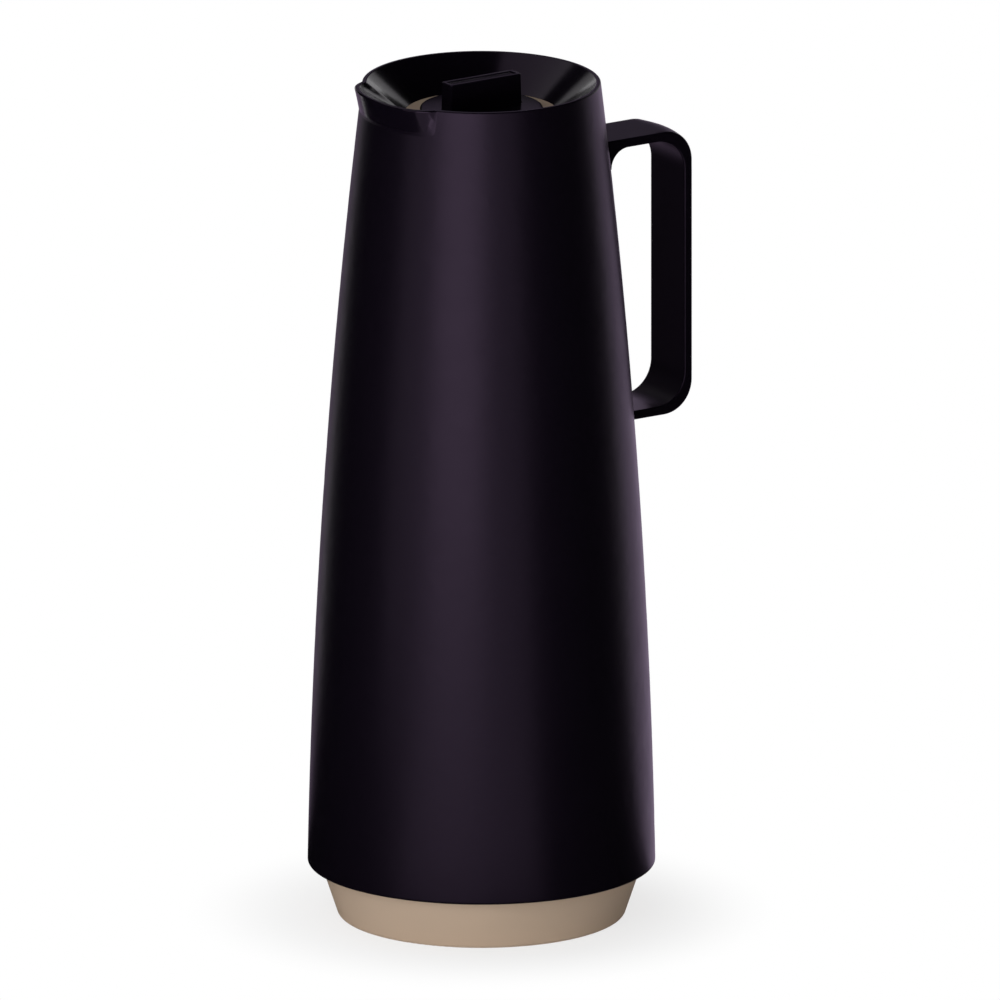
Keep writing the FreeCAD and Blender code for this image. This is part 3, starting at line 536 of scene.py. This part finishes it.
class JUG_OT_fin_ribs(bpy.types.Operator):
    """Add the plain grip ribs in the panel on top of the fin"""

    bl_idname = "jug.fin_ribs"
    bl_label = "Fin Ribs"

    def execute(self, context):
        sizes = context.scene.jug_thread
        grow("fin_ribs", rib_tree(), {
            "Count": sizes.rib_count, "Spacing": sizes.rib_spacing, "Length": sizes.rib_length,
            "Radius": sizes.rib_radius, "Height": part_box("stopper_cap")[1][2] - sizes.panel_depth,
            "Material": polished_plastic(context.scene.jug_finish)}, "stopper")
        return {"FINISHED"}


# Steps round a corner, across the strap and round each of its long edges
CORNER_STEPS = 28
ACROSS_STEPS = 14
EDGE_STEPS = 4
SHARP_ANGLE = math.radians(40)


def columns_across(half, edge):
    """Places across the strap, close together at its rounded edges, each with its drop from the face."""
    columns = []
    for step in range(EDGE_STEPS):
        turn = math.pi / 2 * step / EDGE_STEPS
        columns.append((-half + edge * (1 - math.cos(turn)), edge * (1 - math.sin(turn))))
    flat = half - edge
    columns += [(flat * (2 * step / ACROSS_STEPS - 1), 0) for step in range(ACROSS_STEPS + 1)]
    return columns + [(-place, drop) for place, drop in reversed(columns[:EDGE_STEPS])]


def corner_stations(sizes, reach, top):
    """Stations round the upper corner: the full face, the way out, the arch's share and the root."""
    full = sizes.full_radius
    bend = sizes.bend_radius
    stations = []
    for step in range(CORNER_STEPS + 1):
        share = step / CORNER_STEPS
        turn = math.pi / 2 * (1 - share)
        out = Vector((math.cos(turn), 0, math.sin(turn)))
        face = Vector((reach - full, 0, top - full)) + out * full
        root = Vector((reach - bend, 0, top - bend)) + out * (bend - sizes.sink)
        stations.append((face, out, math.sin(math.pi * share) ** 2, root))
    first_face, *first_rest = stations[0]
    last_face, *last_rest = stations[-1]
    before = (first_face - Vector((bend - full, 0, 0)), *first_rest)
    after = (last_face - Vector((0, 0, bend - full)), *last_rest)
    return [before] + stations + [after]


def corner_grid(sizes, reach, top, half):
    """Points and faces of one full corner of the strap, closed all round."""
    columns = columns_across(half, sizes.edge)
    points = []
    for face, out, share, root in corner_stations(sizes, reach, top):
        for place, drop in columns:
            arch = sizes.arch * share * (1 - (place / half) ** 2)
            points.append(face + out * (arch - drop) + Vector((0, place, 0)))
        points += [root + Vector((0, place, 0)) for place, _ in reversed(columns)]
    ring = 2 * len(columns)
    rows = len(points) // ring
    faces = [(row * ring + spot, row * ring + (spot + 1) % ring,
              (row + 1) * ring + (spot + 1) % ring, (row + 1) * ring + spot)
             for row in range(rows - 1) for spot in range(ring)]
    faces.append(tuple(range(ring)))
    faces.append(tuple(range((rows - 1) * ring, rows * ring)))
    return points, faces


class JUG_OT_handle_corners(bpy.types.Operator):
    """Add the full, arched outer corners of the handle's strap"""

    bl_idname = "jug.handle_corners"
    bl_label = "Handle Corners"

    def execute(self, context):
        sizes = context.scene.jug_handle
        (_, _, bottom), (reach, half, top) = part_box("handle")
        points, faces = corner_grid(sizes, reach, top, half - sizes.inset)
        lower = [Vector((point.x, point.y, top + bottom - point.z)) for point in points]
        lower_faces = [tuple(len(points) + spot for spot in face) for face in faces]
        mesh = bpy.data.meshes.new("handle_corners")
        mesh.from_pydata(points + lower, [], faces + lower_faces)
        form = bmesh.new()
        form.from_mesh(mesh)
        bmesh.ops.recalc_face_normals(form, faces=form.faces)
        form.to_mesh(mesh)
        form.free()
        mesh.shade_smooth()
        mesh.set_sharp_from_angle(angle=SHARP_ANGLE)
        mesh.materials.append(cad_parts["handle"].data.materials[0])
        piece = bpy.data.objects.new("handle_corners", mesh)
        context.scene.collection.objects.link(piece)
        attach(piece, "jug")
        return {"FINISHED"}


def background_rays(tree):
    """One for the rays that show the background itself: camera, glossy and transmission rays."""
    path = add(tree, "ShaderNodeLightPath").outputs
    seen = add(tree, "ShaderNodeMath", {0: path["Is Camera Ray"], 1: path["Is Glossy Ray"]},
               operation="MAXIMUM")
    shown = add(tree, "ShaderNodeMath", {0: seen.outputs[0], 1: path["Is Transmission Ray"]},
                operation="MAXIMUM")
    return shown.outputs[0]


# How white the paper is near the jug, where it takes the shadow
NEAR_WHITE_SHARE = 0.75


def seamless_paper(reach, fade):
    """White background paper: it takes the jug's shadow near by and runs out to plain white."""
    material, tree, place = new_material("seamless_paper")
    distance = add(tree, "ShaderNodeVectorMath", {0: place}, operation="LENGTH")
    far = add(tree, "ShaderNodeMapRange", {
        "Value": distance.outputs["Value"], "From Min": reach, "From Max": reach + fade,
        "To Min": NEAR_WHITE_SHARE}, interpolation_type="SMOOTHSTEP")
    white = add(tree, "ShaderNodeMath", {0: far.outputs[0], 1: background_rays(tree)},
                operation="MULTIPLY")
    sheet = add(tree, "ShaderNodeBsdfDiffuse", {"Color": (*linear("#f4f4f4"), 1)})
    glow = add(tree, "ShaderNodeEmission", {"Color": (1, 1, 1, 1), "Strength": 1.0})
    paper = add(tree, "ShaderNodeMixShader", {
        0: white.outputs[0], 1: sheet.outputs[0], 2: glow.outputs[0]})
    add(tree, "ShaderNodeOutputMaterial", {"Surface": paper.outputs[0]})
    return material


def black_velvet():
    """Black velvet on the cards: it takes all light but a trace of its pile."""
    material, tree, place = new_material("black_velvet")
    pile = mottled(tree, place, linear("#080808"), size=5 * MM, share=0.3)
    velvet = add(tree, "ShaderNodeBsdfDiffuse", {"Color": pile})
    add(tree, "ShaderNodeOutputMaterial", {"Surface": velvet.outputs[0]})
    return material


def lilac_panel(name, glow):
    """A light behind lilac cloth: a dim, even glow with a trace of the weave."""
    material, tree, place = new_material(f"{name}_cloth")
    cloth = mottled(tree, place, linear(glow), size=5 * MM, share=0.05)
    light = add(tree, "ShaderNodeEmission", {"Color": cloth, "Strength": 1.0})
    add(tree, "ShaderNodeOutputMaterial", {"Surface": light.outputs[0]})
    return material


# Two edges of each kind of sheet round the jug, as radius and height in metres
FLOOR_GAP = 0.0005
UPRIGHT_CARD = ((0.5, 0.0), (0.5, 0.7))
WING_CARD = ((0.5, 0.33), (0.5, 0.7))
FLOOR_CARD = ((0.0, FLOOR_GAP), (0.5, FLOOR_GAP))
NEAR_FLOOR_CARD = ((0.0, FLOOR_GAP), (0.13, FLOOR_GAP))
CEILING_CARD = ((0.0, 1.8), (9.0, 1.8))
UPRIGHT_PANEL = ((0.3, 0.0), (0.3, 0.28))
FLOOR_PANEL = ((0.0, FLOOR_GAP), (0.3, FLOOR_GAP))
HIGH_PANEL = ((1.1, 0.32), (1.1, 0.95))
PALE_LILAC = "#dfc8ea"
MIDDLE_LILAC = "#907d97"
DEEP_LILAC = "#6d6275"
# Dark cards for the reflections: the angles right of the camera that they span, and their edges
CARDS = {
    "left_card": (-140, -68, UPRIGHT_CARD),
    "left_wing_card": (-152, -140, WING_CARD),
    "left_floor_card": (-140, -48, FLOOR_CARD),
    "right_card": (33, 117, UPRIGHT_CARD),
    "right_wing_card": (117, 140, WING_CARD),
    "right_floor_card": (33, 117, FLOOR_CARD),
    "front_floor_card": (-48, 33, NEAR_FLOOR_CARD),
    "ceiling_card": (-180, 180, CEILING_CARD),
}
# Lilac panels that only reflections see: the same, and the colour of their glow
PANELS = {
    "left_panel": (-180, -140, UPRIGHT_PANEL, MIDDLE_LILAC),
    "left_floor_panel": (-180, -140, FLOOR_PANEL, MIDDLE_LILAC),
    "right_panel": (117, 180, UPRIGHT_PANEL, PALE_LILAC),
    "right_floor_panel": (117, 180, FLOOR_PANEL, PALE_LILAC),
    "back_panel": (166, 194, HIGH_PANEL, DEEP_LILAC),
}
# Softboxes: angle right of the camera, rise, distance, width and height, in degrees and metres
SOFTBOXES = {
    "front_light": (-18, 8, 0.8, 0.55, 0.8),
    "top_light": (-110, 55, 1.4, 1.4, 1.4),
    "back_left_light": (-150, 19, 1.2, 0.5, 0.4),
    "back_right_light": (150, 19, 1.2, 0.5, 0.4),
}
# Half the paper's width, the height the softboxes face and the camera's distance, in metres
FLOOR_REACH = 10
LIGHT_AIM = 0.15
CAMERA_DISTANCE = 2
CARD_STEPS = 24


def around(turn, bearing, rise):
    """The direction at a bearing right of the camera and a rise above the floor, both in degrees."""
    side = turn + math.radians(bearing)
    up = math.radians(rise)
    return Vector((math.sin(side) * math.cos(up), -math.cos(side) * math.cos(up), math.sin(up)))


def sheet_of(name, material, rows):
    """A stage sheet from two rows of corners."""
    mesh = bpy.data.meshes.new(name)
    width = len(rows[0])
    faces = [(place, place + 1, width + place + 1, width + place) for place in range(width - 1)]
    mesh.from_pydata([corner for row in rows for corner in row], [], faces)
    mesh.materials.append(material)
    sheet = bpy.data.objects.new(name, mesh)
    bpy.context.scene.collection.objects.link(sheet)
    return sheet


class JUG_OT_stage(bpy.types.Operator):
    """Set the camera, the paper floor, the dark cards, the lilac panels and the softboxes"""

    bl_idname = "jug.stage"
    bl_label = "Stage"

    def execute(self, context):
        scene = context.scene
        stage = scene.jug_stage
        scene.view_settings.view_transform = "Standard"
        self.place_camera(scene, stage)
        self.light_room(scene, stage)
        reach = FLOOR_REACH
        sheet_of("floor", seamless_paper(stage.paper_reach, stage.paper_fade),
                 [[(-reach, -reach, 0), (reach, -reach, 0)], [(-reach, reach, 0), (reach, reach, 0)]])
        self.hang_cards(stage)
        for name, box in SOFTBOXES.items():
            self.add_softbox(scene, stage, name, *box)
        return {"FINISHED"}

    def place_camera(self, scene, stage):
        """A parallel view, as the photograph shows."""
        back = around(stage.azimuth, 0, math.degrees(stage.elevation))
        right = Vector((math.cos(stage.azimuth), math.sin(stage.azimuth), 0))
        lens = bpy.data.cameras.new("camera")
        lens.type = "ORTHO"
        lens.ortho_scale = stage.view_width
        camera = bpy.data.objects.new("camera", lens)
        aim = Vector((0, 0, stage.aim_height)) + right * stage.aim_right
        camera.location = aim + back * CAMERA_DISTANCE
        camera.rotation_mode = "QUATERNION"
        camera.rotation_quaternion = (-back).to_track_quat("-Z", "Y")
        scene.collection.objects.link(camera)
        scene.camera = camera

    def light_room(self, scene, stage):
        """A white background that lights the jug only as much as a plain room."""
        world = bpy.data.worlds.new("studio")
        world.use_nodes = True
        tree = world.node_tree
        tree.nodes.clear()
        room = add(tree, "ShaderNodeBackground", {"Color": (1, 1, 1, 1), "Strength": stage.room_light})
        shown = add(tree, "ShaderNodeBackground", {"Color": (1, 1, 1, 1), "Strength": 1.0})
        mix = add(tree, "ShaderNodeMixShader", {
            0: background_rays(tree), 1: room.outputs[0], 2: shown.outputs[0]})
        add(tree, "ShaderNodeOutputWorld", {"Surface": mix.outputs[0]})
        scene.world = world

    def hang_cards(self, stage):
        """Dark cards and lilac panels that give the bands in the casing's sheen."""
        velvet = black_velvet()
        for name, place in CARDS.items():
            card = self.hang(stage, name, velvet, *place)
            # The ceiling also keeps the room's light from the jug's top
            card.visible_diffuse = name == "ceiling_card"
        for name, (*place, glow) in PANELS.items():
            self.hang(stage, name, lilac_panel(name, glow), *place)

    def hang(self, stage, name, material, first, last, edges):
        """A curved sheet round the jug that only reflections see."""
        bearings = [first + (last - first) * step / CARD_STEPS for step in range(CARD_STEPS + 1)]
        rows = []
        for radius, height in edges:
            rows.append([around(stage.azimuth, bearing, 0) * radius + Vector((0, 0, height))
                         for bearing in bearings])
        sheet = sheet_of(name, material, rows)
        sheet.visible_camera = False
        sheet.visible_diffuse = False
        sheet.visible_transmission = False
        sheet.visible_shadow = False
        return sheet

    def add_softbox(self, scene, stage, name, bearing, rise, distance, width, height):
        """A soft rectangular light that faces the jug."""
        lamp = bpy.data.lights.new(name, "AREA")
        lamp.shape = "RECTANGLE"
        lamp.size = width
        lamp.size_y = height
        lamp.energy = getattr(stage, name) * math.pi * width * height
        box = bpy.data.objects.new(name, lamp)
        away = around(stage.azimuth, bearing, rise)
        box.location = Vector((0, 0, LIGHT_AIM)) + away * distance
        box.rotation_mode = "QUATERNION"
        box.rotation_quaternion = (-away).to_track_quat("-Z", "Y")
        scene.collection.objects.link(box)


OPERATORS = (JUG_OT_casing, JUG_OT_base, JUG_OT_flask, JUG_OT_seals, JUG_OT_stopper, JUG_OT_thread,
             JUG_OT_fin_ribs, JUG_OT_handle_corners, JUG_OT_stage)


class JUG_PT_panel(bpy.types.Panel):
    """The jug's pieces in the order they are made"""

    bl_idname = "JUG_PT_panel"
    bl_label = "Thermal Jug"
    bl_space_type = "VIEW_3D"
    bl_region_type = "UI"
    bl_category = "Thermal Jug"

    def draw(self, context):
        for operator in OPERATORS:
            self.layout.operator(operator.bl_idname)
        scene = context.scene
        for group in (scene.jug_finish, scene.jug_thread, scene.jug_handle, scene.jug_stage):
            box = self.layout.box()
            for name in group.__annotations__:
                box.prop(group, name)


CLASSES = (JugFinish, JugThread, JugHandle, JugStage, *OPERATORS, JUG_PT_panel)


def register():
    for item in CLASSES:
        bpy.utils.register_class(item)
    bpy.types.Scene.jug_finish = PointerProperty(type=JugFinish)
    bpy.types.Scene.jug_thread = PointerProperty(type=JugThread)
    bpy.types.Scene.jug_handle = PointerProperty(type=JugHandle)
    bpy.types.Scene.jug_stage = PointerProperty(type=JugStage)


def unregister():
    del bpy.types.Scene.jug_stage
    del bpy.types.Scene.jug_handle
    del bpy.types.Scene.jug_thread
    del bpy.types.Scene.jug_finish
    for item in reversed(CLASSES):
        bpy.utils.unregister_class(item)


def main():
    register()
    bpy.ops.jug.casing()
    bpy.ops.jug.base()
    bpy.ops.jug.flask()
    bpy.ops.jug.seals()
    bpy.ops.jug.stopper()
    bpy.ops.jug.thread()
    bpy.ops.jug.fin_ribs()
    bpy.ops.jug.handle_corners()
    bpy.ops.jug.stage()


if __name__ == "__main__":
    main()
